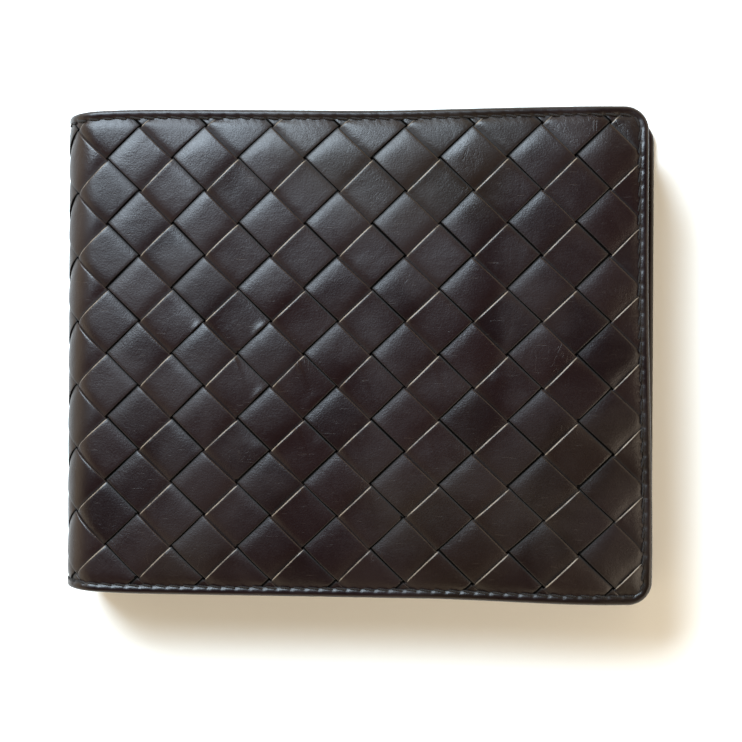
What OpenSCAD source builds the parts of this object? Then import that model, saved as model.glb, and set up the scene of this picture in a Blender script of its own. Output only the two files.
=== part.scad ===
// Woven leather folding wallet, lying closed on its back leaf.
// Origin: on the table, under the middle of the closed wallet.
// +X points from the spine to the free edge, +Y to the open side of the
// note compartment, +Z up.

/* [Cover] */
// Outside width of the closed wallet, spine to free edge
cover_w = 116; // [110:0.5:122]
// Outside height of the closed wallet
cover_h = 95; // [90:0.5:100]
// How much shorter the front leaf is than the back leaf
front_setback = 2.6; // [0.5:0.1:3.5]
// Radius of the rounded outer corners
outline_r = 4.5; // [3:0.1:6]
// Outside radius of the two bends of the spine
spine_r = 7; // [6:0.1:7.5]

/* [Weave] */
// Thickness of the interlaced leather strips
weave_t = 1.1; // [0.9:0.05:1.4]
// Distance between neighbouring crossings along X
weave_pitch_x = 12.95; // [12:0.05:13.5]
// Distance between neighbouring crossings along Y
weave_pitch_y = 12.65; // [12:0.05:13.2]
// Depth of the grooves between crossings
weave_groove = 0.2; // [0.1:0.05:0.3]
// Distance from the front free edge to the first column of crossings
weave_start = 7.2; // [6.5:0.1:9.5]

/* [Edge] */
// Width of the smooth strip sewn round the cover
binding_w = 2.4; // [2.2:0.1:3]
// Distance from the edge to the middle of the stitch line
stitch_inset = 1.5; // [1.2:0.1:1.6]
// Width of the thread
thread_w = 0.5; // [0.4:0.05:0.6]

/* [Layers] */
// Thickness of the backing glued under the strips
backing_t = 0.5; // [0.4:0.05:0.6]
// Thickness of the cloth lining
lining_t = 0.3; // [0.2:0.05:0.4]
// Height of the note compartment
note_gap = 1; // [0.8:0.1:1.2]
// Thickness of the inner leather panels
panel_t = 0.45; // [0.4:0.05:0.6]
// Height of one card slot
slot_t = 0.8; // [0.8:0.05:1]
// Gap between the folded leaves
leaf_gap = 0.3; // [0.2:0.05:0.4]

/* [Pockets] */
// How far the inner panels stop short of the cover's edge
inner_inset = 1.5; // [1.3:0.1:2]
// Width of the sewn bands that close the sides of the pockets
band_w = 2.2; // [2:0.1:2.6]
// Upper edge of the divider of the note compartment
divider_top = 42; // [41:0.5:43]
// Upper edge of the rear card pocket
first_pocket_top = 38; // [36:0.5:39]
// Step from one pocket edge to the next
pocket_step = 12; // [10:0.5:13]

/* [Middle leaf] */
// How much shorter the middle leaf is than the front leaf
middle_setback = 4.4; // [3.5:0.1:6]
// Lower edge of the middle leaf
middle_y0 = -43; // [-44:0.5:-42]
// Upper edge of the middle leaf
middle_y1 = 39; // [37:0.5:40]
// Width of the clear window's opening
window_w = 78; // [70:1:82]
// Height of the clear window's opening
window_h = 50; // [44:1:54]
// Thickness of the clear sheet
clear_t = 0.2; // [0.15:0.05:0.3]

/* [Hidden] */

arc_fn = 64;
espresso = [0.17, 0.125, 0.11];
dark_leather = [0.13, 0.1, 0.09];
thread_brown = [0.24, 0.18, 0.15];
cloth = [0.2, 0.17, 0.15];
clear_film = [0.75, 0.8, 0.82, 0.5];

half_h = cover_h / 2;
spine_x = -cover_w / 2;
fold_x = spine_x + spine_r;
back_free = cover_w / 2;
front_free = back_free - front_setback;

// Depths below the outside face of a cover leaf
backing_z = weave_t;
lining_z = backing_z + backing_t;
cover_t = lining_z + lining_t;
divider_z = cover_t + note_gap;
pockets_z = divider_z + panel_t;
pocket_pitch = slot_t + panel_t;
leaf_t = pockets_z + 3 * pocket_pitch;

// Depths below the lower face of the middle leaf
frame_t = 0.5;
core_t = 0.4;
core_z = frame_t + clear_t + slot_t;
middle_pockets_z = core_z + core_t;
middle_t = middle_pockets_z + 2 * pocket_pitch;
middle_z = leaf_t + leaf_gap;
total_t = 2 * leaf_t + 2 * leaf_gap + middle_t;

// Stitch grooves, and thread that lies just below the surface
groove_w = thread_w + 0.1;
groove_t = 0.35;
thread_sink = 0.05;
thread_t = groove_t - thread_sink;

// The weave lies inside the binding
weave_half_h = half_h - binding_w;
crossing_gap = 0.5;
crossing_w = weave_pitch_x - crossing_gap;
crossing_h = weave_pitch_y - crossing_gap;
weave_rows = floor(half_h / weave_pitch_y);
weave_columns = floor((back_free - fold_x) / weave_pitch_x);
// Length of the woven skin round the spine, at the middle of its thickness
half_turn = 3.14159;
spine_skin = half_turn * (spine_r - weave_t / 2) + total_t - 2 * spine_r;
// Length of the skin from the first front column to the back leaf
back_weave_start = front_free - fold_x + spine_skin - weave_start;
back_first_x = fold_x + weave_pitch_x - back_weave_start % weave_pitch_x;

// Inner panels
hinge_room = 6;
spine_band_w = 2;
band_overhang = 1;
seam_end = 0.5;
inner_y0 = -half_h + inner_inset;
pocket_y0 = inner_y0 + band_w;
pocket_x0 = fold_x + hinge_room;

// Middle leaf and its sewn hinge
frame_below_top = 1;
middle_pocket_below_top = 4;
hinge_below_top = 2;
tab_foot = 2;
middle_x0 = pocket_x0;
middle_x1 = front_free - middle_setback;
tab_x = middle_x0 - hinge_room / 2;
tab_top = middle_y1 - hinge_below_top;
window_top = middle_y1 - frame_below_top;

// A box given by its corners
module slab(x0, x1, y0, y1, z0, t)
    translate([x0, y0, z0])
        cube([x1 - x0, y1 - y0, t]);

// Leaf outline: square at the spine, rounded at the free edge
module leaf_outline(free_x, inset) {
    r = outline_r - inset;
    x1 = free_x - inset;
    h = half_h - inset;
    translate([fold_x, -h])
        square([x1 - r - fold_x, 2 * h]);
    translate([fold_x, r - h])
        square([x1 - fold_x, 2 * (h - r)]);
    for (side = [-1, 1])
        translate([x1 - r, side * (h - r)])
            circle(r = r, $fn = arc_fn);
}

module leaf_sheet(free_x, inset, z0, t)
    translate([0, 0, z0])
        linear_extrude(t)
            leaf_outline(free_x, inset);

// Strip of the given width along the three outer edges of a leaf
module leaf_ring(free_x, inset, w, z0, t)
    translate([0, 0, z0])
        linear_extrude(t)
            difference() {
                leaf_outline(free_x, inset);
                leaf_outline(free_x, inset + w);
            }

// One crossing: a low patch with its four corners along X and Y
module crossing(x, y)
    translate([x, y, 0])
        linear_extrude(weave_groove)
            polygon([[crossing_w / 2, 0], [0, crossing_h / 2],
                     [-crossing_w / 2, 0], [0, -crossing_h / 2]]);

// Woven panel: a sheet with a raised patch at every second crossing
module leaf_weave(free_x, first_x, step) {
    leaf_sheet(free_x, binding_w, weave_groove, weave_t - weave_groove);
    intersection() {
        leaf_sheet(free_x, binding_w + 0.1, 0, weave_groove + 0.1);
        for (column = [0 : weave_columns])
            for (row = [-weave_rows : weave_rows])
                crossing(first_x + column * step, row * weave_pitch_y);
    }
}

module leaf_binding(free_x)
    difference() {
        leaf_ring(free_x, 0, binding_w, 0, cover_t);
        leaf_ring(free_x, stitch_inset - groove_w / 2, groove_w, -1, 1 + groove_t);
    }

module leaf_thread(free_x)
    leaf_ring(free_x, stitch_inset - thread_w / 2, thread_w, thread_sink, thread_t);

module leaf_divider(free_x)
    slab(fold_x, free_x - inner_inset - band_w, pocket_y0, divider_top,
         divider_z, panel_t);

// Card pocket 1 is the front one and has the lowest edge
module leaf_pocket(free_x, number) {
    layer = 3 - number;
    slab(pocket_x0, free_x - inner_inset - band_w, pocket_y0,
         first_pocket_top - layer * pocket_step,
         pockets_z + layer * pocket_pitch + slot_t, panel_t);
}

module leaf_side_band(free_x) {
    x1 = free_x - inner_inset;
    difference() {
        slab(x1 - band_w, x1, inner_y0, divider_top, cover_t, leaf_t - cover_t);
        slab(x1 - (band_w + groove_w) / 2, x1 - (band_w - groove_w) / 2,
             inner_y0 + (band_w - groove_w) / 2, divider_top + 1,
             leaf_t - groove_t, groove_t + 1);
        slab(x1 - band_w - 1, x1 - (band_w - groove_w) / 2,
             inner_y0 + (band_w - groove_w) / 2,
             inner_y0 + (band_w + groove_w) / 2,
             leaf_t - groove_t, groove_t + 1);
    }
}

module leaf_bottom_band(free_x) {
    x1 = free_x - inner_inset - band_w;
    difference() {
        slab(fold_x + band_overhang, x1, inner_y0, pocket_y0, cover_t,
             leaf_t - cover_t);
        slab(fold_x, x1 + 1, inner_y0 + (band_w - groove_w) / 2,
             inner_y0 + (band_w + groove_w) / 2, leaf_t - groove_t,
             groove_t + 1);
    }
}

module leaf_spine_band()
    slab(pocket_x0 - spine_band_w, pocket_x0, pocket_y0, first_pocket_top, pockets_z,
         leaf_t - pockets_z);

// Thread along the free side and the bottom of the pockets
module leaf_pocket_thread(free_x) {
    x1 = free_x - inner_inset - (band_w - thread_w) / 2;
    y0 = inner_y0 + (band_w - thread_w) / 2;
    z0 = leaf_t - groove_t;
    slab(x1 - thread_w, x1, y0, divider_top - seam_end, z0, thread_t);
    slab(fold_x + band_overhang + seam_end, x1, y0, y0 + thread_w, z0, thread_t);
}

// The front leaf is the back leaf turned face up on top of the stack
module on_top()
    translate([0, 0, total_t])
        mirror([0, 0, 1])
            children();

// Everything of the spine that lies deeper than the given depth
module spine_section(depth) {
    r = spine_r - depth;
    intersection() {
        union() {
            for (z = [spine_r, total_t - spine_r])
                translate([fold_x, z])
                    circle(r = r, $fn = arc_fn);
            translate([fold_x - r, spine_r])
                square([r, total_t - 2 * spine_r]);
        }
        translate([spine_x - 1, -1])
            square([fold_x - spine_x + 1, total_t + 2]);
    }
}

// One layer of the spine, from y0 to y1
module spine_wrap(depth, t, y0, y1)
    translate([0, y1, 0])
        rotate([90, 0, 0])
            linear_extrude(y1 - y0)
                difference() {
                    spine_section(depth);
                    spine_section(depth + t);
                }

// Smooth strip round one end of the spine, with its stitch groove
module spine_binding(side) {
    stitch_y = side * (half_h - stitch_inset);
    y0 = side > 0 ? weave_half_h : -half_h;
    difference() {
        spine_wrap(0, cover_t, y0, y0 + binding_w);
        spine_wrap(-0.5, groove_t + 0.5, stitch_y - groove_w / 2,
                   stitch_y + groove_w / 2);
    }
}

module middle_slab(x0, x1, y0, y1, depth, t)
    slab(x0, x1, y0, y1, middle_z + depth, t);

module middle_pocket(layer, top)
    middle_slab(middle_x0 + band_w, middle_x1 - band_w, middle_y0 + band_w, top,
                middle_pockets_z + layer * pocket_pitch + slot_t, panel_t);

// ---- back leaf ----

module back_woven_panel()
    color(espresso)
        leaf_weave(back_free, back_first_x, weave_pitch_x);

module back_edge_binding() color(espresso) leaf_binding(back_free);

module back_cover_backing()
    color(dark_leather) leaf_sheet(back_free, binding_w, backing_z, backing_t);

module back_cover_lining()
    color(cloth) leaf_sheet(back_free, binding_w, lining_z, lining_t);

module back_note_divider() color(dark_leather) leaf_divider(back_free);

module back_card_pocket_1() color(espresso) leaf_pocket(back_free, 1);

module back_card_pocket_2() color(espresso) leaf_pocket(back_free, 2);

module back_card_pocket_3() color(espresso) leaf_pocket(back_free, 3);

module back_side_band() color(dark_leather) leaf_side_band(back_free);

module back_bottom_band() color(dark_leather) leaf_bottom_band(back_free);

module back_spine_band() color(dark_leather) leaf_spine_band();

module back_cover_stitching() color(thread_brown) leaf_thread(back_free);

module back_pocket_stitching() color(thread_brown) leaf_pocket_thread(back_free);

// ---- front leaf ----

module front_woven_panel()
    color(espresso) on_top()
        leaf_weave(front_free, front_free - weave_start, -weave_pitch_x);

module front_edge_binding() color(espresso) on_top() leaf_binding(front_free);

module front_cover_backing()
    color(dark_leather) on_top()
        leaf_sheet(front_free, binding_w, backing_z, backing_t);

module front_cover_lining()
    color(cloth) on_top() leaf_sheet(front_free, binding_w, lining_z, lining_t);

module front_note_divider() color(dark_leather) on_top() leaf_divider(front_free);

module front_card_pocket_1() color(espresso) on_top() leaf_pocket(front_free, 1);

module front_card_pocket_2() color(espresso) on_top() leaf_pocket(front_free, 2);

module front_card_pocket_3() color(espresso) on_top() leaf_pocket(front_free, 3);

module front_side_band() color(dark_leather) on_top() leaf_side_band(front_free);

module front_bottom_band()
    color(dark_leather) on_top() leaf_bottom_band(front_free);

module front_spine_band() color(dark_leather) on_top() leaf_spine_band();

module front_cover_stitching()
    color(thread_brown) on_top() leaf_thread(front_free);

module front_pocket_stitching()
    color(thread_brown) on_top() leaf_pocket_thread(front_free);

// ---- spine ----

module spine_weave()
    color(espresso) spine_wrap(0, weave_t, -weave_half_h, weave_half_h);

module spine_backing()
    color(dark_leather)
        spine_wrap(backing_z, backing_t, -weave_half_h, weave_half_h);

module spine_lining()
    color(cloth) spine_wrap(lining_z, lining_t, -weave_half_h, weave_half_h);

module spine_inner_strip()
    color(dark_leather) spine_wrap(divider_z, panel_t, pocket_y0, divider_top);

module spine_binding_top() color(espresso) spine_binding(1);

module spine_binding_bottom() color(espresso) spine_binding(-1);

module spine_stitching()
    color(thread_brown)
        for (side = [-1, 1])
            spine_wrap(thread_sink, thread_t,
                       side * (half_h - stitch_inset) - thread_w / 2,
                       side * (half_h - stitch_inset) + thread_w / 2);

// ---- middle leaf ----

module middle_core()
    color(dark_leather)
        middle_slab(middle_x0 + band_w, middle_x1 - band_w,
                    middle_y0 + band_w, middle_y1, core_z, core_t);

module middle_window_frame() {
    centre_x = (middle_x0 + middle_x1) / 2;
    centre_y = (middle_y0 + middle_y1) / 2;
    color(espresso)
        difference() {
            middle_slab(middle_x0 + band_w, middle_x1 - band_w,
                        middle_y0 + band_w, window_top, 0, frame_t);
            middle_slab(centre_x - window_w / 2, centre_x + window_w / 2,
                        centre_y - window_h / 2, centre_y + window_h / 2,
                        -1, frame_t + 2);
        }
}

module middle_clear_window()
    color(clear_film)
        middle_slab(middle_x0 + band_w, middle_x1 - band_w,
                    middle_y0 + band_w, window_top, frame_t, clear_t);

module middle_card_pocket_1()
    color(espresso)
        middle_pocket(1, middle_y1 - middle_pocket_below_top - pocket_step);

module middle_card_pocket_2()
    color(espresso) middle_pocket(0, middle_y1 - middle_pocket_below_top);

module middle_side_band()
    color(dark_leather)
        middle_slab(middle_x1 - band_w, middle_x1, middle_y0, middle_y1, 0,
                    middle_t - thread_t);

module middle_bottom_band()
    color(dark_leather)
        middle_slab(middle_x0, middle_x1 - band_w, middle_y0,
                    middle_y0 + band_w, 0, middle_t - thread_t);

module middle_spine_band()
    color(dark_leather)
        middle_slab(middle_x0, middle_x0 + band_w, middle_y0 + band_w,
                    middle_y1, 0, middle_t - thread_t);

// Thread that runs round three sides, on top of the bands
module middle_stitching() {
    inset = (band_w - thread_w) / 2;
    z0 = middle_t - thread_t;
    color(thread_brown) {
        middle_slab(middle_x0 + inset, middle_x1 - inset, middle_y0 + inset,
                    middle_y0 + inset + thread_w, z0, thread_t);
        for (x = [middle_x0 + inset, middle_x1 - inset - thread_w])
            middle_slab(x, x + thread_w, middle_y0 + inset,
                        middle_y1 - inset, z0, thread_t);
    }
}

// Sewn hinge: a foot on the note divider, a riser, and a flap to the core
module middle_hinge_tab() {
    flap_z = middle_z + core_z;
    color(dark_leather) {
        slab(tab_x - tab_foot, tab_x + panel_t, pocket_y0 + band_w, tab_top,
             pockets_z, panel_t);
        slab(tab_x, tab_x + panel_t, pocket_y0 + band_w, tab_top,
             pockets_z, flap_z + core_t - pockets_z);
        slab(tab_x, middle_x0, pocket_y0 + band_w, tab_top, flap_z, core_t);
    }
}

back_woven_panel();
back_edge_binding();
back_cover_backing();
back_cover_lining();
back_note_divider();
back_card_pocket_1();
back_card_pocket_2();
back_card_pocket_3();
back_side_band();
back_bottom_band();
back_spine_band();
back_cover_stitching();
back_pocket_stitching();
front_woven_panel();
front_edge_binding();
front_cover_backing();
front_cover_lining();
front_note_divider();
front_card_pocket_1();
front_card_pocket_2();
front_card_pocket_3();
front_side_band();
front_bottom_band();
front_spine_band();
front_cover_stitching();
front_pocket_stitching();
spine_weave();
spine_backing();
spine_lining();
spine_inner_strip();
spine_binding_top();
spine_binding_bottom();
spine_stitching();
middle_core();
middle_window_frame();
middle_clear_window();
middle_card_pocket_1();
middle_card_pocket_2();
middle_side_band();
middle_bottom_band();
middle_spine_band();
middle_stitching();
middle_hinge_tab();
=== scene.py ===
"""Woven leather folding wallet, lying closed on a pale table.

The cover is drawn on flat coordinates: s runs along it from the front free
edge, round the spine, to the back free edge, t runs up it, and d is the depth
below its outer face. cover_point() bends them into the closed wallet.
"""
import math

import bmesh
import bpy
import numpy as np
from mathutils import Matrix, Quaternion, Vector


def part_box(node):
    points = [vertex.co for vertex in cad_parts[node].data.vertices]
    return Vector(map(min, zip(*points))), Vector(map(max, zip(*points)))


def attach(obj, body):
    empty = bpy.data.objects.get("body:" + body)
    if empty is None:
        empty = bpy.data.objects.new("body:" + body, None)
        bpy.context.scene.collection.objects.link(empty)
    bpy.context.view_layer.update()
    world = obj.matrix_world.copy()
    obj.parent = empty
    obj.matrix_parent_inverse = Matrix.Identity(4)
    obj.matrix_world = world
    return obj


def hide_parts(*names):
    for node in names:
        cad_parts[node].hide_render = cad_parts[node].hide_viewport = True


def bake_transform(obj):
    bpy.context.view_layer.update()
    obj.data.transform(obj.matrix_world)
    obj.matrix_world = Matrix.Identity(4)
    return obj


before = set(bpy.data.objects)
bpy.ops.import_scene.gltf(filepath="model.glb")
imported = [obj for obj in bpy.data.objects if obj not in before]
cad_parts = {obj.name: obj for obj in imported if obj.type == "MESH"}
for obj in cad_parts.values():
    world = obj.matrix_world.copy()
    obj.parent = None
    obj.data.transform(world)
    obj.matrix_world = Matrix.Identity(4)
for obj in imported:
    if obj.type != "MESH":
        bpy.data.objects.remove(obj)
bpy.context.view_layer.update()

MM = 0.001

# ---------------------------------------------------------------- sizes
edge_low, edge_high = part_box("front_edge_binding")
weave_low, weave_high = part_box("front_woven_panel")
FRONT_FREE = edge_high[0]
BACK_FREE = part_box("back_edge_binding")[1][0]
FOLD = edge_low[0]
HALF_H = edge_high[1]
TOTAL = edge_high[2]
COVER_T = edge_high[2] - edge_low[2]
WEAVE_T = weave_high[2] - weave_low[2]
SPINE_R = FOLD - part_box("spine_weave")[0][0]

# Lengths along the cover, from the front free edge
BEND = (SPINE_R - WEAVE_T / 2) * math.pi / 2
SIDE = TOTAL - 2 * SPINE_R
FRONT_END = FRONT_FREE - FOLD
MIDDLE = FRONT_END + BEND + SIDE / 2
BACK_START = FRONT_END + 2 * BEND + SIDE
LENGTH = BACK_START + BACK_FREE - FOLD

# The weave. Pairs hold a value for each family: 0 runs down to the right, 1 up to the right
PITCH_S = 12.95 * MM  # a crossing's diagonal along the cover
PITCH_T = 12.65 * MM  # and up it
STRIP = math.hypot(PITCH_S, PITCH_T) / 2  # from one strip's middle to the next
WEAVE_START = 7.2 * MM
RELIEF = (0.27 * MM, 0.49 * MM)  # half of how deep a strip dives
STRIP_GAP = (0.3 * MM, 0.34 * MM)  # between neighbours that run the same way
STRIP_BIAS = (-0.16, 0.06)  # above 0, a strip shows for longer than it hides
LEVEL_SHARPNESS = (2.0, 2.1)  # how suddenly it dives
STRIP_CROWN = 0.07 * MM  # how far a strip's edges lie below its middle
TWIST = 0.09 * MM  # how far they rock up and down along it
CURL = 0.2 * MM  # how far the upper edges of family 1 stand up on the front
STEPS = 28  # rings of a strip from one crossing to the next
FLAT_RUN = 2.2 * MM  # the weave flattens over this distance from the border
FLAT_SHARE = 0.55  # of its relief, lost at the border
BORDER_SINK = 0.12 * MM  # how far it sinks there
UNDER_FROM = 0.46  # in crossings from where a strip is highest
EDGE_FROM = 0.95  # share of a strip's half width where its cut edge begins

# The border
CORNER_R = 4.5 * MM
BAND_W = 1.75 * MM  # from the edge to where the weave begins
STITCH_PITCH = 2.7 * MM
STITCH_LENGTH = 2.15 * MM
STITCH_R = 0.23 * MM

# The worn front, in mm: how far it stands up or hangs down
FRONT_CROWN = 0.7
FREE_EDGE_RISE = 0.5
SPINE_DROOP = 0.95
BORDER_DROOP = 0.8
FRONT_WAVE = 0.07

random = np.random.default_rng(7)


def smooth(x):
    """From 0 to 1, eased at both ends."""
    x = np.clip(x, 0, 1)
    return x * x * (3 - 2 * x)


def hump(value, middle, reach):
    """1 at the middle, falling off to almost 0 over twice the reach."""
    return np.exp(-(((value - middle) / reach) ** 2))


# ---------------------------------------------------------------- materials
class Look:
    """A material with one Principled shader, built node by node."""

    def __init__(self, name):
        self.material = bpy.data.materials.new(name)
        self.material.use_nodes = True
        self.tree = self.material.node_tree
        self.shader = self.tree.nodes["Principled BSDF"]
        self.normal = None

    def add(self, kind, inputs=None, **settings):
        """A new node with these settings and inputs."""
        node = self.tree.nodes.new("ShaderNode" + kind)
        for key, value in settings.items():
            setattr(node, key, value)
        for key, value in (inputs or {}).items():
            self.feed(node.inputs[key], value)
        return node

    def feed(self, socket, value):
        """Links a socket to another, or sets it to a number or colour."""
        if isinstance(value, bpy.types.NodeSocket):
            self.tree.links.new(value, socket)
        else:
            socket.default_value = value

    def position(self, stretch=(1, 1, 1), turn=(0, 0, 0)):
        """Object coordinates, stretched and turned."""
        place = self.add("TexCoord").outputs["Object"]
        mapping = self.add("Mapping", {"Vector": place, "Scale": stretch, "Rotation": turn})
        return mapping.outputs["Vector"]

    def noise(self, scale, detail=3, distortion=0.0, vector=None):
        inputs = {"Scale": scale, "Detail": detail, "Distortion": distortion,
                  "Vector": vector or self.position()}
        return self.add("TexNoise", inputs).outputs["Fac"]

    def cells(self, scale):
        inputs = {"Scale": scale, "Vector": self.position()}
        return self.add("TexVoronoi", inputs).outputs["Distance"]

    def spread(self, value, low, high, to_low=0.0, to_high=1.0):
        """Turns low to high into to_low to to_high, eased at both ends."""
        inputs = {"Value": value, "From Min": low, "From Max": high,
                  "To Min": to_low, "To Max": to_high}
        return self.add("MapRange", inputs, interpolation_type="SMOOTHSTEP").outputs["Result"]

    def maths(self, operation, a, b=0.0):
        node = self.add("Math", operation=operation)
        self.feed(node.inputs[0], a)
        self.feed(node.inputs[1], b)
        return node.outputs[0]

    def blend(self, share, a, b):
        """Colour a where the share is 0, b where it is 1."""
        node = self.add("Mix", data_type="RGBA")
        self.feed(node.inputs["Factor"], share)
        self.feed(node.inputs["A"], a)
        self.feed(node.inputs["B"], b)
        return node.outputs["Result"]

    def bump(self, height, distance):
        """Adds a relief on top of the ones before it."""
        node = self.add("Bump", {"Height": height, "Distance": distance, "Strength": 1.0})
        if self.normal:
            self.feed(node.inputs["Normal"], self.normal)
        self.normal = node.outputs["Normal"]

    def mark(self, name):
        """A value that the mesh holds at each point."""
        return self.add("Attribute", attribute_name=name).outputs["Fac"]

    def finish(self, colour, roughness, **constants):
        self.feed(self.shader.inputs["Base Color"], colour)
        self.feed(self.shader.inputs["Roughness"], roughness)
        if self.normal:
            self.feed(self.shader.inputs["Normal"], self.normal)
        for key, value in constants.items():
            self.shader.inputs[key.replace("_", " ")].default_value = value
        return self.material


def rgba(red, green, blue):
    """A linear colour with alpha."""
    return (red, green, blue, 1.0)


ESPRESSO = rgba(0.0042, 0.0012, 0.0015)
ESPRESSO_LIGHT = rgba(0.0092, 0.0032, 0.0031)
# Pale edge colour: scratches and worn edges, and painted highlight on the weave's cut edges that
# face the window
PALE_WEAR_AND_HIGHLIGHT = rgba(0.2, 0.155, 0.115)
INNER = rgba(0.014, 0.0082, 0.006)
# Olive tint: a painted reflection of the surroundings, laid in random patches
OLIVE_REFLECTION = rgba(0.015, 0.0115, 0.0055)
# Near-black painted shade, for the recesses of the weave and the border groove
PAINTED_SHADE_BLACK = rgba(0.0008, 0.0006, 0.0005)


def leather(name, dark, light, roughness, grain=1.0, wear=1.0, specular=0.3):
    """Smooth calf leather: fine grain, pores, soft wrinkles, scuffs, worn edges with painted
    highlight, olive patches of painted reflection, and painted shade in recesses.
    """
    look = Look(name)
    patches = look.noise(55, 4, 0.6)
    fine = look.noise(3100, 4)
    pores = look.cells(2900)
    wrinkles = look.noise(330, 3, 1.2, look.position((1, 0.42, 1), (0, 0, 0.9)))
    wrinkle_share = look.maths("MULTIPLY", line_of(look, wrinkles, 0.5, 0.018),
                               look.spread(look.noise(85, 3), 0.52, 0.7))
    scratches = look.noise(260, 5, 0.3, look.position((1, 11, 1), (0, 0, 0.55)))
    scratch_share = look.spread(scratches, 0.66, 0.72)
    rim = look.mark("rim")
    painted_shade = look.mark("painted_shade")
    colour = look.blend(look.spread(patches, 0.3, 0.7, 0.0, 0.6), dark, light)
    colour = look.blend(look.maths("MULTIPLY", look.mark("tone"), 0.7), colour, light)
    # Olive patches at random: painted reflection of the surroundings
    colour = look.blend(look.spread(look.noise(21, 2), 0.5, 0.7, 0.0, 0.28), colour, OLIVE_REFLECTION)
    colour = look.blend(look.maths("MULTIPLY", scratch_share, 0.04 * wear), colour, PALE_WEAR_AND_HIGHLIGHT)
    # Pale edges: real wear on panels and the border, and painted highlight on the strips' cut edges
    # facing the window
    edge_wear_and_highlight = look.maths("MULTIPLY", look.maths("POWER", rim, 3.0),
                     look.spread(look.noise(420, 2), 0.35, 0.6, 0.3 * wear, 0.8 * wear))
    colour = look.blend(edge_wear_and_highlight, colour, PALE_WEAR_AND_HIGHLIGHT)
    # Painted shade: near-black and rougher in the recesses and on the strip edges turned from the
    # window
    colour = look.blend(look.maths("MULTIPLY", painted_shade, 0.95), colour, PAINTED_SHADE_BLACK)
    rough = look.spread(look.maths("ADD", patches, look.maths("MULTIPLY", fine, 0.35)),
                        0.45, 0.85, roughness - 0.07, roughness + 0.08)
    rough = look.maths("ADD", rough, look.maths("MULTIPLY", painted_shade, 0.4))
    look.bump(look.noise(150, 4, 0.4), 0.16 * MM * grain)
    look.bump(wrinkle_share, -0.016 * MM * wear)
    look.bump(fine, 0.025 * MM * grain)
    look.bump(pores, 0.012 * MM * grain)
    look.bump(scratch_share, -0.007 * MM)
    return look.finish(colour, rough, Coat_Weight=0.15 * specular, Coat_Roughness=0.24,
                       Specular_IOR_Level=specular)


def line_of(look, value, level, width):
    """1 on the thin lines where a noise passes a level, 0 away from them."""
    distance = look.maths("ABSOLUTE", look.maths("SUBTRACT", value, level))
    return look.spread(distance, 0.0, width, 1.0, 0.0)


def cloth(name):
    """Fine twill lining."""
    look = Look(name)
    ribs = look.add("TexWave", {"Vector": look.position((1, 1, 0)), "Scale": 620.0,
                                "Distortion": 0.6, "Detail": 1.0},
                    bands_direction="DIAGONAL").outputs["Fac"]
    threads = look.noise(3400, 2)
    patches = look.noise(70, 3)
    colour = look.blend(ribs, rgba(0.014, 0.0095, 0.008), rgba(0.034, 0.0235, 0.0185))
    colour = look.blend(look.maths("MULTIPLY", patches, 0.35), colour, rgba(0.045, 0.032, 0.025))
    look.bump(ribs, 0.07 * MM)
    look.bump(threads, 0.03 * MM)
    rough = look.spread(threads, 0.3, 0.7, 0.75, 0.92)
    return look.finish(colour, rough, Sheen_Weight=0.25, Sheen_Roughness=0.5)


def thread(name):
    """Waxed thread with a tight twist."""
    look = Look(name)
    twist = look.add("TexWave", {"Vector": look.position((1, 1, 1), (0.4, 0.3, 0.8)),
                                 "Scale": 1500.0, "Distortion": 0.4},
                     bands_direction="DIAGONAL").outputs["Fac"]
    worn = look.noise(160, 3)
    colour = look.blend(twist, rgba(0.003, 0.0019, 0.0017), rgba(0.01, 0.0066, 0.0053))
    colour = look.blend(look.spread(worn, 0.45, 0.8, 0.0, 0.4), colour, rgba(0.02, 0.014, 0.012))
    look.bump(twist, 0.06 * MM)
    rough = look.spread(worn, 0.3, 0.7, 0.68, 0.82)
    return look.finish(colour, rough, Sheen_Weight=0.04, Specular_IOR_Level=0.25)


def clear_film(name):
    """Clear window sheet with hairline scratches and a slight waviness."""
    look = Look(name)
    scratches = look.noise(300, 4, 0.2, look.position((1, 14, 1), (0, 0, 0.3)))
    share = look.spread(scratches, 0.62, 0.7)
    look.bump(look.noise(90, 2), 0.12 * MM)
    rough = look.maths("ADD", look.maths("MULTIPLY", share, 0.3), 0.07)
    look.feed(look.shader.inputs["Alpha"], look.spread(share, 0.0, 1.0, 0.16, 0.42))
    colour = look.blend(share, rgba(0.62, 0.67, 0.7), rgba(0.85, 0.88, 0.9))
    return look.finish(colour, rough)


def table_top(name):
    """Matt off-white laminate with a faint mottle."""
    look = Look(name)
    mottle = look.noise(14, 4)
    colour = look.blend(mottle, rgba(0.89, 0.88, 0.86), rgba(0.93, 0.925, 0.91))
    look.bump(look.noise(900, 2), 0.02 * MM)
    rough = look.spread(mottle, 0.3, 0.7, 0.5, 0.6)
    return look.finish(colour, rough)


# Near-black, almost matt leather for the sunk faces between strips: painted shade in the gaps
PAINTED_SHADE_SIDES = leather("strip_sides_painted_shade", PAINTED_SHADE_BLACK, ESPRESSO, 0.7, 1.5, 0.2, specular=0.05)
LOOKS = {
    "woven_leather": leather("woven_leather", ESPRESSO, ESPRESSO_LIGHT, 0.385),
    "edge_leather": leather("edge_leather", ESPRESSO, ESPRESSO_LIGHT, 0.33, 0.8, 0.7),
    "inner_leather": leather("inner_leather", ESPRESSO, INNER, 0.5, 0.9, 0.5),
    "pocket_leather": leather("pocket_leather", INNER, ESPRESSO_LIGHT, 0.46, 1.0, 0.6),
    "backing_leather": leather("backing_leather", ESPRESSO, INNER, 0.62, 1.3, 0.4),
    "hinge_leather": leather("hinge_leather", ESPRESSO, INNER, 0.5, 1.2, 0.6),
    "lining_cloth": cloth("lining_cloth"),
    "thread": thread("thread"),
    "clear_film": clear_film("clear_film"),
}


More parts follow.
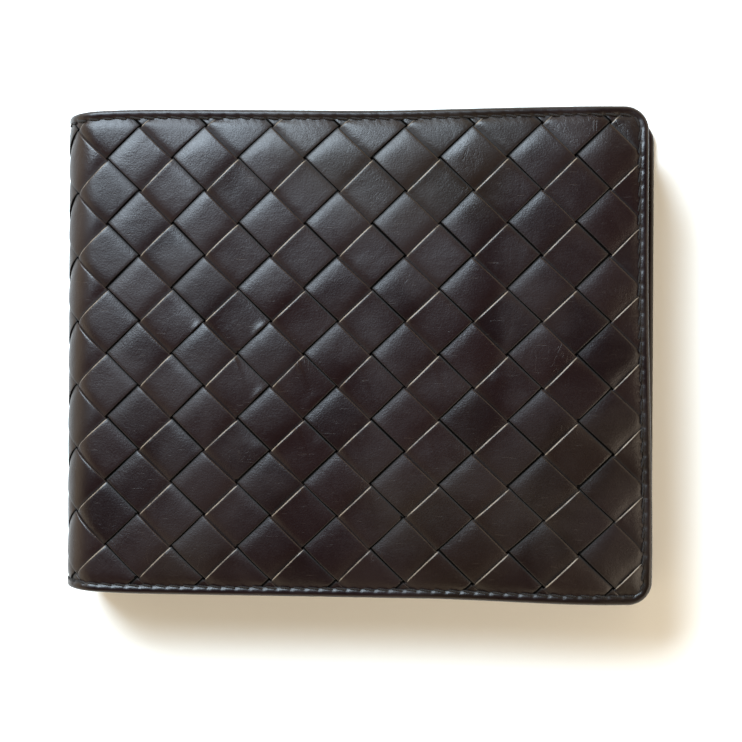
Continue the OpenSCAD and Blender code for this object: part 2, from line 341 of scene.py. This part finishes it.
# ---------------------------------------------------------------- mesh helpers
def make_piece(name, points, faces, slot, marks=None):
    """A smooth-shaded mesh object with its material and per-point marks."""
    mesh = bpy.data.meshes.new(name)
    mesh.from_pydata(np.asarray(points).reshape(-1, 3).tolist(), [], faces)
    mesh.polygons.foreach_set("use_smooth", [True] * len(mesh.polygons))
    for key in ("rim", "tone", "painted_shade"):
        values = (marks or {}).get(key)
        attribute = mesh.attributes.new(key, "FLOAT", "POINT")
        if values is not None:
            attribute.data.foreach_set("value", np.asarray(values, np.float32).ravel())
    mesh.materials.append(LOOKS[slot])
    mesh.update()
    piece = bpy.data.objects.new(name, mesh)
    bpy.context.collection.objects.link(piece)
    return piece


def ring_faces(rings, points, start=0, closed=False):
    """Quads between successive rings, each a closed loop; closed joins the last to the first."""
    faces = []
    for i in range(rings if closed else rings - 1):
        here = start + i * points
        there = start + (i + 1) % rings * points
        for j in range(points):
            k = (j + 1) % points
            faces.append((here + j, here + k, there + k, there + j))
    return faces


def sheet_faces(rows, columns, start=0):
    """A closed sheet: one grid of points, a second one behind it, and the rim between."""
    size = rows * columns
    faces = []
    for i in range(rows - 1):
        for j in range(columns - 1):
            a = start + i * columns + j
            b = a + columns
            faces.append((b, b + 1, a + 1, a))
            faces.append((size + a + 1, size + b + 1, size + b, size + a))
    rim = [(0, j) for j in range(columns)]
    rim += [(i, columns - 1) for i in range(1, rows)]
    rim += [(rows - 1, j) for j in range(columns - 2, -1, -1)]
    rim += [(i, 0) for i in range(rows - 2, 0, -1)]
    rim = [start + i * columns + j for i, j in rim]
    for a, b in zip(rim, rim[1:] + rim[:1]):
        faces.append((size + b, size + a, a, b))
    return faces


def spaced(low, high, step, edges):
    """Positions from low to high, with extra ones at these distances from each end."""
    inner = np.linspace(low + edges[-1], high - edges[-1], max(2, round((high - low) / step)))
    near = np.array(edges[:-1])
    return np.concatenate([low + near, inner, (high - near)[::-1]])


# ---------------------------------------------------------------- the cover's shape
def lift(s, t):
    """How far the worn, padded front stands off its flat shape."""
    across = 1 - s / FRONT_END
    up = t / HALF_H
    inside = smooth(across * 5) * (s < FRONT_END)
    crown = FRONT_CROWN * np.sin(math.pi * np.clip(across, 0, 1)) * np.cos(up * math.pi / 2)
    crown += FREE_EDGE_RISE * smooth(s / (8 * MM) - 0.2)
    droop = SPINE_DROOP * smooth((across - 0.84) / 0.16) * (0.3 + 0.7 * smooth(0.35 - up))
    droop += BORDER_DROOP * smooth((abs(up) - 0.8) / 0.2)
    wave = np.sin(s * 190 + 1.3) * np.sin(t * 150 + 0.4) + 0.7 * np.sin(s * 83 - t * 128)
    return inside * (crown - droop + FRONT_WAVE * wave) * MM


def waist(s, t):
    """How much the worn cover has drawn in along its height, as a share."""
    bend = 0.019 * hump(s, MIDDLE, 12 * MM)
    upper = 0.011 * hump(s, 52 * MM, 26 * MM)
    lower = 0.016 * smooth((s - 8 * MM) / (36 * MM)) * smooth((BACK_START - s) / (20 * MM))
    share = smooth(0.5 - t / HALF_H)
    return bend + upper * (1 - share) + lower * share


def skew(s, t):
    """How far the lower part of the front's free edge has been pushed out."""
    return 1.1 * MM * smooth(0.35 - 0.85 * t / HALF_H) * (1 - smooth(s / (45 * MM)))


def cover_point(s, t, d):
    """Points of the closed cover for flat coordinates and depth."""
    s, t, d = np.broadcast_arrays(s, t, d)
    push = skew(s, t)
    t = t * (1 - waist(s, t))
    upper = np.clip((s - FRONT_END) / BEND, 0, 1)
    lower = np.clip((s - FRONT_END - BEND - SIDE) / BEND, 0, 1)
    angle = (upper + lower) * math.pi / 2
    x = FRONT_FREE - np.minimum(s, FRONT_END) + np.maximum(s - BACK_START, 0)
    z = TOTAL - SPINE_R - np.clip(s - FRONT_END - BEND, 0, SIDE)
    reach = SPINE_R - d + lift(s, t)
    return np.stack([x + push - reach * np.sin(angle), t, z + reach * np.cos(angle)], -1)


def inset_of(s, t):
    """Distance from the nearest of the cover's edges."""
    return np.minimum(HALF_H - abs(t), np.minimum(s, LENGTH - s))


def stitch_pinch(inset):
    """How far the leather is pulled down along the stitch line."""
    return 0.3 * MM * hump(inset, BAND_W, 0.5 * MM)


def bend_piece(piece):
    """Bakes the piece's placement into its points."""
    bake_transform(piece)


# ---------------------------------------------------------------- woven strips
# Across a strip: share of its half width, and depth below its face in mm
STRIP_PROFILE = [
    (-1.0, 0.55), (-1.0, 0.26), (-0.99, 0.13), (-0.965, 0.045), (-0.92, 0.005), (-0.82, 0.0),
    (-0.7, 0.0), (-0.5, 0.0), (-0.25, 0.0), (0.0, 0.0), (0.25, 0.0), (0.5, 0.0), (0.7, 0.0),
    (0.82, 0.0), (0.92, 0.005), (0.965, 0.045), (0.99, 0.13), (1.0, 0.26), (1.0, 0.55),
]
# Where worn strips of the front have crumpled: place in X and Y, and rise, in mm
CRUMPLES = [
    (-18.7, 4.8, 0.34), (-30.8, 5.2, 0.22), (-18.9, -7.8, 0.24), (-8.2, -8.6, 0.18),
    (26.5, -4.8, 0.2), (-6.5, 3.2, 0.15), (7.4, 3.5, 0.15), (6.5, -10.4, 0.14),
    (-18.7, -18.2, 0.16), (-6.5, -17.3, 0.12), (1.5, 17.5, 0.12), (33.0, 20.5, 0.12),
]
CRUMPLE_LENGTH = 2.6 * MM
CRUMPLE_WIDTH = 0.9 * MM


def flat_place(family, along, across):
    """Flat coordinates of a point this many crossings along and across the strips."""
    u, v = (along, across) if family == 0 else (across, along)
    return WEAVE_START + (u - v) * PITCH_S / 2, (u + v) * PITCH_T / 2


def across_of(family, s, t):
    """How many strips a point of the cover lies from strip 0 of the family."""
    u = t / PITCH_T + (s - WEAVE_START) / PITCH_S
    v = t / PITCH_T - (s - WEAVE_START) / PITCH_S
    return v if family == 0 else u


def crumple(s, t):
    """How far the crumpled places of the front strips stand up: short curved ridges."""
    rise = np.zeros(np.shape(s))
    for x, y, height in CRUMPLES:
        right = FRONT_FREE - s - x * MM
        up = t - y * MM
        across = up - right + 0.25 * right * right / MM
        rise += height * MM * hump(right + up, 0, CRUMPLE_LENGTH) * hump(across, 0, CRUMPLE_WIDTH)
    return rise


def strip_middle(family, index, along):
    """The strip's centre line, which wanders a little: crossings from strip 0."""
    return index + 0.011 * np.sin(along * 1.9 + index * 2.1 + family)


def strip_half(family, index, along):
    """Half the strip's width, in crossings."""
    return (1 - STRIP_GAP[family] / STRIP) / 2 * (1 + 0.01 * np.sin(index * 5.3 + along * 0.8))


def strip_rings(family, index, low, high):
    """One strip on flat coordinates: rings of (s, t, d), or None where it misses the cover."""
    reach = (HALF_H * 2 + LENGTH) / STRIP
    along = np.arange(-reach, reach, 1 / STEPS)
    s, t = flat_place(family, along, index)
    along = along[(s > low - PITCH_S) & (s < high + PITCH_S) & (abs(t) < HALF_H + PITCH_T / 2)]
    if len(along) < 3:
        return None
    middle = strip_middle(family, index, along)
    over = np.cos(math.pi * (along + index + family)) + STRIP_BIAS[family]
    level = np.tanh(LEVEL_SHARPNESS[family] * over)
    half = strip_half(family, index, along)
    twist = TWIST * np.sin(along * 2.3 + index * 3.7 + family)
    rings = []
    for side, drop in STRIP_PROFILE:
        s, t = flat_place(family, along, middle + side * half)
        inset = inset_of(s, t)
        fade = smooth(1 - (inset - BAND_W) / FLAT_RUN)
        depth = (1 - level) * RELIEF[family] * (1 - FLAT_SHARE * fade) + BORDER_SINK * fade
        depth = depth + drop * MM + STRIP_CROWN * side * side + twist * side * (1 - fade)
        if family == 1:
            free = (1 - fade) * smooth(over * 1.6) * smooth((FRONT_END - s) / STRIP)
            depth = depth - CURL * max(side, 0) ** 3 * free - crumple(s, t) * (level > 0)
        rings.append(np.stack([s, t, depth + stitch_pinch(inset)], -1))
    return np.stack(rings, 1)


def strips(half, family):
    """All strips of one family on one half of the cover: points, faces and marks."""
    low, high = (0.0, MIDDLE) if half == "front" else (MIDDLE, LENGTH)
    points, faces = [], []
    count = math.ceil((LENGTH + HALF_H) * 2 / PITCH_T)
    for index in range(-count, count):
        rings = strip_rings(family, index, low, high)
        if rings is None:
            continue
        faces += ring_faces(*rings.shape[:2], len(points))
        points += rings.reshape(-1, 3).tolist()
    flat, faces = clip_flat(points, faces, low, high)
    s, t, d = flat.T
    return cover_point(s, t, d), faces, strip_marks(family, s, t)


def strip_marks(family, s, t):
    """Painted highlight on strips' upper cut edges, painted shade where they dive and on the
    opposite cut edges, and a random tone for every crossing.
    """
    across = across_of(family, s, t)
    number = np.round(across)
    along = across_of(1 - family, s, t)
    side = (across - strip_middle(family, number, along)) / strip_half(family, number, along)
    tone = (np.sin(number * 12.9898 + np.round(along) * 7.233 + family * 4.1) * 43.7) % 1
    phase = (along + number + family + 1) % 2 - 1
    under = smooth((abs(phase) - UNDER_FROM) / 0.04)
    # Painted shade: where a strip dives, stronger at one end than the other, and on its cut edge
    # opposite the highlight
    painted_shade = np.maximum(under * np.where(phase > 0, 1, 0.4), smooth((-side - EDGE_FROM) / 0.03))
    # Painted highlight on the strip's upper cut edge: full on family 1, whose upper edge faces the
    # window, weaker on family 0
    rim = smooth((side - EDGE_FROM) / 0.015) * (1 - under) * (1 if family == 1 else 0.4)
    return {"rim": rim, "tone": tone, "painted_shade": painted_shade}


def clip_flat(points, faces, low, high):
    """Cuts a mesh on flat coordinates to the border, and gives its points and faces."""
    mesh = bpy.data.meshes.new("flat")
    mesh.from_pydata(points, [], faces)
    work = bmesh.new()
    work.from_mesh(mesh)
    top = HALF_H - BAND_W
    first = BAND_W if low == 0 else low
    last = LENGTH - BAND_W if high == LENGTH else high
    for place, way in (((0, top, 0), (0, 1, 0)), ((0, -top, 0), (0, -1, 0)),
                       ((first, 0, 0), (-1, 0, 0)), ((last, 0, 0), (1, 0, 0))):
        everything = work.verts[:] + work.edges[:] + work.faces[:]
        bmesh.ops.bisect_plane(work, geom=everything, plane_co=place, plane_no=way,
                               clear_outer=True, dist=1e-7)
    work.to_mesh(mesh)
    work.free()
    flat = np.empty(len(mesh.vertices) * 3)
    mesh.vertices.foreach_get("co", flat)
    faces = [tuple(polygon.vertices) for polygon in mesh.polygons]
    bpy.data.meshes.remove(mesh)
    return flat.reshape(-1, 3), faces


def build_weave(half):
    """The strips of one half; the faces that lie in the gaps get a near-black, duller leather as
    painted shade.
    """
    for family, letter in enumerate("ab"):
        points, faces, marks = strips(half, family)
        piece = make_piece(f"{half}_strips_{letter}", points, faces, "woven_leather", marks)
        piece.data.materials.append(PAINTED_SHADE_SIDES)
        # Faces deep in painted shade take the painted-shade leather
        sunk = [min(marks["painted_shade"][i] for i in face) > 0.45 for face in faces]
        piece.data.polygons.foreach_set("material_index", np.array(sunk, np.int32))
        bend_piece(piece)
        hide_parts(f"{half}_woven_panel", "spine_weave")


# ---------------------------------------------------------------- border and stitches
def edge_path(half, inset, step):
    """Points (s, t) of the leaf's edge, moved in by inset.

    They run from the spine along the top, down the free edge and back along the bottom."""
    radius = CORNER_R - inset
    top = HALF_H - inset
    straight = np.arange(MIDDLE, CORNER_R, -step)
    turn = np.linspace(0, math.pi / 2, 14)[1:]
    s = [straight, CORNER_R - radius * np.sin(turn)]
    t = [np.full(len(straight), top), HALF_H - CORNER_R + radius * np.cos(turn)]
    drop = np.arange(HALF_H - CORNER_R - step, -HALF_H + CORNER_R, -step)
    s, t = np.concatenate(s), np.concatenate(t)
    path = np.stack([
        np.concatenate([s, np.full(len(drop), inset), s[::-1]]),
        np.concatenate([t, drop, -t[::-1]]),
    ], -1)
    if half == "back":
        path[:, 0] = LENGTH - path[:, 0] * (LENGTH - MIDDLE) / MIDDLE
    return path


# Across the border: distance from the edge, and depth below the cover's face, in mm
BAND_PROFILE = [
    (2.3, 0.75), (1.95, 0.62), (1.75, 0.4), (1.5, 0.2), (1.15, 0.05), (0.75, 0.0), (0.4, 0.06),
    (0.15, 0.26), (0.0, 0.65), (0.0, 1.25), (0.15, 1.65), (0.45, 1.86), (0.9, 1.9), (2.3, 1.9),
]


def distance_along(path):
    """How far each point of a path lies from its start."""
    steps = np.linalg.norm(np.diff(path, axis=0), axis=1)
    return np.concatenate([[0], np.cumsum(steps)])


def build_band(half):
    """The turned leather edge, puckered a little at every stitch hole."""
    width = BAND_PROFILE[0][0]
    step = STITCH_PITCH / 9
    outer = edge_path(half, 0.0, step)
    inner = edge_path(half, width * MM, step)
    run = distance_along(outer)
    hole = np.cos(run / STITCH_PITCH * 2 * math.pi) * 0.5 + 0.5
    rings = []
    for inset, depth in BAND_PROFILE:
        share = inset / width
        flat = outer * (1 - share) + inner * share
        pucker = hole ** 4 * 0.16 * MM * hump(inset, 1.6, 0.5)
        swell = 0.03 * MM * (1 + np.sin(run * 310 + 0.7)) * (depth < 0.5)
        rings.append(cover_point(flat[:, 0], flat[:, 1], depth * MM + pucker + swell))
    rings = np.stack(rings, 1)
    faces = ring_faces(*rings.shape[:2])
    rim = np.tile([0] * 6 + [0.1, 0.25, 0.15, 0.1, 0.1] + [0] * 3, len(rings))
    # Painted shade in the groove along the stitch line, where the band dips under the weave
    painted_shade = np.tile([1, 1, 0.8, 0.2] + [0] * 10, len(rings))
    marks = {"rim": rim, "painted_shade": painted_shade}
    piece = make_piece(f"{half}_border", rings, faces, "edge_leather", marks)
    bend_piece(piece)
    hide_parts(f"{half}_edge_binding", "spine_binding_top", "spine_binding_bottom")


def capsule(length, radius, rings=7, sides=8):
    """A rounded thread segment: rings of (along, across, up)."""
    x = np.cos(np.linspace(math.pi, 0, rings)) * length / 2
    r = radius * np.sqrt(np.clip(1 - (x / (length / 2)) ** 4, 0.02, 1))
    turn = np.linspace(0, 2 * math.pi, sides, endpoint=False)
    return np.stack([
        np.repeat(x[:, None], sides, 1),
        r[:, None] * np.cos(turn),
        r[:, None] * np.sin(turn),
    ], -1)


def stitch_row(path, place, slant=0.16):
    """Thread segments along a path; place turns (a point of the path's plane, up) into space."""
    run = distance_along(path)
    form = capsule(STITCH_LENGTH, STITCH_R)
    points, faces = [], []
    for middle in np.arange(STITCH_PITCH / 2, run[-1], STITCH_PITCH):
        tilt = slant + random.normal(0, 0.05)
        along = form[..., 0] * math.cos(tilt) - form[..., 1] * math.sin(tilt)
        across = form[..., 0] * math.sin(tilt) + form[..., 1] * math.cos(tilt)
        at = np.clip(middle + along, 0, run[-1])
        flat = np.stack([np.interp(at, run, path[:, k]) for k in (0, 1)], -1)
        heading = direction(path, run, middle)
        flat = flat + across[..., None] * np.array([-heading[1], heading[0]])
        faces += ring_faces(*form.shape[:2], len(points))
        points += place(flat[..., 0], flat[..., 1], form[..., 2]).reshape(-1, 3).tolist()
    return points, faces


def direction(path, run, at):
    """Unit direction of the path at this distance along it."""
    ahead = np.array([np.interp(at + 0.5 * MM, run, path[:, k]) for k in (0, 1)])
    behind = np.array([np.interp(at - 0.5 * MM, run, path[:, k]) for k in (0, 1)])
    way = ahead - behind
    return way / max(np.linalg.norm(way), 1e-9)


def build_cover_stitches(half):
    """The stitches along the border, pressed a little into the leather."""
    path = edge_path(half, BAND_W - 0.1 * MM, STITCH_PITCH / 6)
    depth = 0.3 * MM

    def place(s, t, up):
        return cover_point(s, t, depth - up)

    points, faces = stitch_row(path, place)
    piece = make_piece(f"{half}_border_stitches", points, faces, "thread")
    bend_piece(piece)
    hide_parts(f"{half}_cover_stitching", "spine_stitching")


# ---------------------------------------------------------------- layers under the weave
def cover_sheet(name, half, depth, thick, inset, t_low, t_high, slot):
    """A closed sheet that lies at one depth below the cover and bends with it."""
    first, last = (inset, MIDDLE) if half == "front" else (MIDDLE, LENGTH - inset)
    s = spaced(first, last, 2.2 * MM, [0, 0.1 * MM, 0.4 * MM, 1.2 * MM])
    t = spaced(t_low, t_high, 3 * MM, [0, 0.1 * MM, 0.4 * MM, 1.2 * MM])
    s, t = np.meshgrid(s, t, indexing="ij")
    outer = cover_point(s, t, np.full(s.shape, depth))
    inner = cover_point(s, t, np.full(s.shape, depth + thick))
    piece = make_piece(name, np.stack([outer, inner]), sheet_faces(*s.shape), slot)
    bend_piece(piece)
    return piece


def build_layers(half):
    """Backing, lining and inner strip of one half."""
    tucked = 0.3 * MM  # how far the layers reach under the border
    inset = HALF_H - weave_high[1] - tucked
    top = HALF_H - inset
    backing_t = 0.5 * MM
    backing = cover_sheet(f"{half}_backing", half, WEAVE_T, backing_t, inset, -top, top,
                          "backing_leather")
    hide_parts(f"{half}_cover_backing", "spine_backing")
    lining_z = WEAVE_T + backing_t
    lining = cover_sheet(f"{half}_lining", half, lining_z, COVER_T - lining_z, inset, -top, top,
                         "lining_cloth")
    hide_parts(f"{half}_cover_lining", "spine_lining")
    strip_low, strip_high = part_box("spine_inner_strip")
    depth = strip_low[0] - (FOLD - SPINE_R)
    thick = 0.45 * MM
    overlap = 1.5 * MM
    inner_from = (FRONT_END if half == "front" else LENGTH - BACK_START) - overlap
    inner = cover_sheet(f"{half}_spine_strip", half, depth, thick, inner_from,
                        strip_low[1], strip_high[1], "inner_leather")
    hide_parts("spine_inner_strip")


# ---------------------------------------------------------------- inner panels
def panel_points(low, high, face, crease, ripple, rounded=0.5 * MM):
    """A rounded, slightly uneven sheet in the box from low to high, and its worn edges.

    face is +1 or -1, the side in Z that shows; crease marks a line near the +Y edge."""
    thick = high[2] - low[2]
    crease_at = 1.5 * MM
    edges = [0, 0.06 * MM, 0.2 * MM, 0.5 * MM]
    if min(high[0] - low[0], high[1] - low[1]) >= 5 * MM:
        edges += [1.15 * MM, 1.35 * MM, crease_at, 1.65 * MM, 1.9 * MM]
    x, y = np.meshgrid(spaced(low[0], high[0], 3 * MM, edges),
                       spaced(low[1], high[1], 3 * MM, edges), indexing="ij")
    rim = np.minimum(np.minimum(x - low[0], high[0] - x), np.minimum(y - low[1], high[1] - y))
    radius = min(thick / 2, rounded)
    rounding = radius * (1 - np.sqrt(np.clip(1 - (1 - np.clip(rim / radius, 0, 1)) ** 2, 0, 1)))
    wave = ripple * np.sin(x * 140 + y * 61 + low[1] * 900) * np.sin(y * 120 - x * 47)
    groove = 0.1 * MM * hump(high[1] - y, crease_at, 0.22 * MM) * crease
    sides = []
    for side, z in ((1, high[2]), (-1, low[2])):
        mark = groove if side == face else 0
        sides.append(np.stack([x, y, z + wave - side * (rounding + mark)], -1))
    worn = 0.5 * hump(rim, 0, 0.35 * MM)
    return np.stack(sides), np.stack([worn, worn]), x.shape


def panel(node, slot, body, face=1, crease=1.0, ripple=0.05 * MM):
    """A sheet in the place of its CAD node."""
    low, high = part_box(node)
    points, worn, shape = panel_points(low, high, face, crease, ripple)
    piece = make_piece(f"{node}_leather", points, sheet_faces(*shape), slot, {"rim": worn})
    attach(piece, body)
    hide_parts(node)


def layered_band(node, slot, body, layers):
    """A sewn margin, where the edges of several layers are pressed together."""
    low, high = (np.array(c, float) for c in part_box(node))
    thick = (high[2] - low[2]) / layers
    rounded = 0.14 * MM
    points, faces, worn = [], [], []
    for layer in range(layers):
        slip = random.uniform(0, 0.09, 2) * MM
        bottom = np.array([low[0] + slip[0], low[1] + slip[1], low[2] + layer * thick])
        top = np.array([high[0] - slip[1], high[1] - slip[0], bottom[2] + thick])
        slab, rim, shape = panel_points(bottom, top, 1, 0.0, 0.0, rounded)
        faces += sheet_faces(*shape, start=len(points))
        points += slab.reshape(-1, 3).tolist()
        worn += rim.ravel().tolist()
    piece = make_piece(f"{node}_layers", points, faces, slot, {"rim": worn})
    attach(piece, body)
    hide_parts(node)


def straight_stitches(name, node, body, runs, face):
    """Rows of stitches along straight runs, each from one (x, y) to another."""
    low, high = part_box(node)
    surface = high[2] if face > 0 else low[2]
    height = surface - face * 0.15 * MM  # the middle of the thread, pressed into the leather

    def place(x, y, up):
        return np.stack([x, y, height + up], -1)

    points, faces = [], []
    for start, end in runs:
        steps = max(2, round(math.dist(start, end) / MM))
        path = np.linspace(start, end, steps)
        more, more_faces = stitch_row(path, place)
        faces += [tuple(i + len(points) for i in f) for f in more_faces]
        points += more
    piece = make_piece(name, points, faces, "thread")
    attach(piece, body)
    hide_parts(node)


def build_leaf(half):
    """Divider, pockets, bands and pocket stitches of one cover leaf."""
    body = f"{half}_leaf"
    face = 1 if half == "back" else -1
    panel(f"{half}_note_divider", "inner_leather", body, face)
    for number in (1, 2, 3):
        panel(f"{half}_card_pocket_{number}", "pocket_leather", body, face)
    layered_band(f"{half}_side_band", "inner_leather", body, 6)
    layered_band(f"{half}_bottom_band", "inner_leather", body, 6)
    layered_band(f"{half}_spine_band", "inner_leather", body, 4)
    low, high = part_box(f"{half}_pocket_stitching")
    inset = STITCH_R
    corner = (high[0] - inset, low[1] + inset)
    runs = [((low[0], corner[1]), corner), (corner, (corner[0], high[1]))]
    straight_stitches(f"{half}_pocket_stitches", f"{half}_pocket_stitching", body, runs, face)


# ---------------------------------------------------------------- middle leaf
def rounded_rectangle(low, high, radius, per_corner=8, per_side=12):
    """Points round a rectangle with round corners, the same number for any size."""
    corners = [(high[0] - radius, high[1] - radius, 0), (low[0] + radius, high[1] - radius, 1),
               (low[0] + radius, low[1] + radius, 2), (high[0] - radius, low[1] + radius, 3)]
    arcs = []
    for x, y, quarter in corners:
        turn = (quarter + np.linspace(0, 1, per_corner)) * math.pi / 2
        arcs.append(np.stack([x + radius * np.cos(turn), y + radius * np.sin(turn)], -1))
    points = []
    for arc, following in zip(arcs, arcs[1:] + arcs[:1]):
        points.append(arc)
        points.append(np.linspace(arc[-1], following[0], per_side + 2)[1:-1])
    return np.concatenate(points)


def build_window_frame():
    """The leather frame of the clear window: a flat ring with rounded edges."""
    low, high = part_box("middle_window_frame")
    leaf_low, leaf_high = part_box("middle_side_band")
    spine_low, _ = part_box("middle_spine_band")
    centre = ((spine_low[0] + leaf_high[0]) / 2, (leaf_low[1] + leaf_high[1]) / 2)
    half = (39 * MM, 25 * MM)  # half of the opening, in the middle of the leaf
    inner = rounded_rectangle((centre[0] - half[0], centre[1] - half[1]),
                              (centre[0] + half[0], centre[1] + half[1]), 3 * MM)
    outer = rounded_rectangle(low[:2], high[:2], 0.4 * MM)
    thick = high[2] - low[2]
    # Share of the way from the opening to the outer edge, and depth as a share of the thickness
    profile = [(0.0, 0.5), (0.012, 0.12), (0.05, 0.0), (0.12, 0.0), (0.17, 0.18), (0.22, 0.0),
               (0.6, 0.0), (0.95, 0.0), (1.0, 0.4), (1.0, 1.0), (0.5, 1.0), (0.0, 1.0)]
    rings = []
    for share, depth in profile:
        flat = inner * (1 - share) + outer * share
        z = np.full(len(flat), low[2] + depth * thick)
        rings.append(np.stack([flat[:, 0], flat[:, 1], z], -1))
    rings = np.stack(rings, 1)
    faces = ring_faces(*rings.shape[:2], closed=True)
    rim = np.tile([0.4, 0.3] + [0.0] * 10, len(rings))
    piece = make_piece("middle_window_frame_leather", rings, faces, "pocket_leather", {"rim": rim})
    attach(piece, "middle_leaf")
    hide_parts("middle_window_frame")


def build_hinge():
    """The sewn hinge: a strip that stands on the divider and bends to the core."""
    low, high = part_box("middle_hinge_tab")
    core_low, core_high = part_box("middle_core")
    thick = 0.42 * MM
    mid_z = (core_low[2] + core_high[2]) / 2
    foot_z = low[2] + thick / 2
    riser_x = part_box("middle_spine_band")[0][0] - 2.8 * MM  # it stands in the hollow of the spine
    turn = np.linspace(0, math.pi / 2, 7)
    radius = 0.7 * MM
    foot = [(low[0] + step * MM, foot_z) for step in (0, 0.4, 0.8)]
    heel = [(riser_x - radius + radius * math.sin(a), foot_z + radius - radius * math.cos(a))
            for a in turn]
    riser = [(riser_x, z) for z in np.linspace(foot_z + radius, mid_z - radius, 9)[1:-1]]
    knee = [(riser_x + radius - radius * math.cos(a), mid_z - radius + radius * math.sin(a))
            for a in turn]
    flap = [(x, mid_z) for x in np.linspace(riser_x + radius, core_low[0], 6)[1:]]
    path = np.array(foot + heel + riser + knee + flap)
    way = np.gradient(path, axis=0)
    way /= np.linalg.norm(way, axis=1)[:, None]
    normal = np.stack([-way[:, 1], way[:, 0]], -1)
    y = spaced(low[1], high[1], 3 * MM, [0, 0.1 * MM, 0.5 * MM])
    sides = []
    for side in (1, -1):
        line = path + normal * side * thick / 2
        x = np.repeat(line[:, :1], len(y), 1)
        z = np.repeat(line[:, 1:], len(y), 1)
        ripple = 0.06 * MM * np.sin(y * 170) * np.ones_like(x)
        sides.append(np.stack([x + ripple, np.tile(y, (len(path), 1)), z], -1))
    faces = sheet_faces(len(path), len(y))
    piece = make_piece("middle_hinge_leather", np.stack(sides), faces, "hinge_leather")
    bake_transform(piece)
    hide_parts("middle_hinge_tab")


def build_middle_leaf():
    """Core, pockets, clear window with its frame, bands, stitches and hinge."""
    body = "middle_leaf"
    panel("middle_core", "inner_leather", body)
    panel("middle_card_pocket_1", "pocket_leather", body)
    panel("middle_card_pocket_2", "pocket_leather", body)
    panel("middle_clear_window", "clear_film", body, crease=0.0, ripple=0.03 * MM)
    layered_band("middle_side_band", "inner_leather", body, 5)
    layered_band("middle_bottom_band", "inner_leather", body, 5)
    layered_band("middle_spine_band", "inner_leather", body, 5)
    build_window_frame()
    low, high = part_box("middle_stitching")
    left, right = low[0] + STITCH_R, high[0] - STITCH_R
    bottom, top = low[1] + STITCH_R, high[1]
    runs = [((left, top), (left, bottom)), ((left, bottom), (right, bottom)),
            ((right, bottom), (right, top))]
    straight_stitches("middle_stitches", "middle_stitching", body, runs, 1)
    build_hinge()


# ---------------------------------------------------------------- stage
def build_table():
    """A plain table top, a hair below the wallet so that the two faces don't coincide."""
    size = 1.6
    mesh = bpy.data.meshes.new("table")
    corners = [(-size, -size, 0), (size, -size, 0), (size, size, 0), (-size, size, 0)]
    mesh.from_pydata(corners, [], [(0, 1, 2, 3)])
    mesh.materials.append(table_top("table_top"))
    table = bpy.data.objects.new("table", mesh)
    table.location.z = -0.02 * MM
    bpy.context.collection.objects.link(table)


def area_light(name, place, size, power, colour):
    """A rectangular light that faces the wallet."""
    lamp = bpy.data.lights.new(name, "AREA")
    lamp.shape = "RECTANGLE"
    lamp.size, lamp.size_y = size
    lamp.energy = power
    lamp.color = colour
    light = bpy.data.objects.new(name, lamp)
    light.location = place
    light.rotation_euler = (-light.location).to_track_quat("-Z", "Y").to_euler()
    bpy.context.collection.objects.link(light)


def build_lights():
    """A cool window beyond the upper left corner, and a weak warm light opposite."""
    area_light("window", (-0.19, 0.27, 0.36), (0.28, 0.26), 6.2, (0.72, 0.87, 1.0))
    area_light("room", (0.45, -0.2, 0.3), (0.3, 0.3), 1.3, (1.0, 0.86, 0.7))
    build_world()
    bpy.context.scene.view_settings.view_transform = "Standard"


def build_world():
    """A warm room: bright walls, hardly dimmer on the window's side, and a dark ceiling."""
    world = bpy.data.worlds.new("room_light")
    world.use_nodes = True
    nodes, links = world.node_tree.nodes, world.node_tree.links
    background = nodes["Background"]
    background.inputs["Color"].default_value = (1.0, 0.84, 0.6, 1)
    place = nodes.new("ShaderNodeTexCoord").outputs["Generated"]
    shares = []
    for way, low, high, dim, bright in (((-0.3, 0.5, 0), -0.6, 0.6, 2.1, 2.0),
                                        ((0, 0, -1), -0.8, -0.3, 0.0, 1.0)):
        side = nodes.new("ShaderNodeVectorMath")
        side.operation = "DOT_PRODUCT"
        side.inputs[1].default_value = way
        links.new(place, side.inputs[0])
        share = nodes.new("ShaderNodeMapRange")
        for key, value in zip(("From Min", "From Max", "To Min", "To Max"),
                              (low, high, dim, bright)):
            share.inputs[key].default_value = value
        links.new(side.outputs["Value"], share.inputs["Value"])
        shares.append(share.outputs["Result"])
    strength = nodes.new("ShaderNodeMath")
    strength.operation = "MULTIPLY"
    links.new(shares[0], strength.inputs[0])
    links.new(shares[1], strength.inputs[1])
    links.new(strength.outputs[0], background.inputs["Strength"])
    bpy.context.scene.world = world


def build_camera():
    """Nearly straight down, from slightly towards the free edge."""
    tilt = math.radians(4.65)
    roll = math.radians(0.31)
    distance = 300 * MM
    target = Vector((2.83 * MM, -3.15 * MM, TOTAL))
    data = bpy.data.cameras.new("camera")
    data.angle = math.radians(26.68)
    data.clip_start = 0.01
    camera = bpy.data.objects.new("camera", data)
    camera.location = target + distance * Vector((math.sin(tilt), 0, math.cos(tilt)))
    turn = Quaternion((0, 1, 0), tilt) @ Quaternion((0, 0, 1), roll)
    camera.rotation_euler = turn.to_euler()
    bpy.context.collection.objects.link(camera)
    bpy.context.scene.camera = camera


build_camera()
for half in ("front", "back"):
    build_weave(half)
    build_band(half)
    build_cover_stitches(half)
    build_layers(half)
    build_leaf(half)
build_middle_leaf()
build_table()
build_lights()
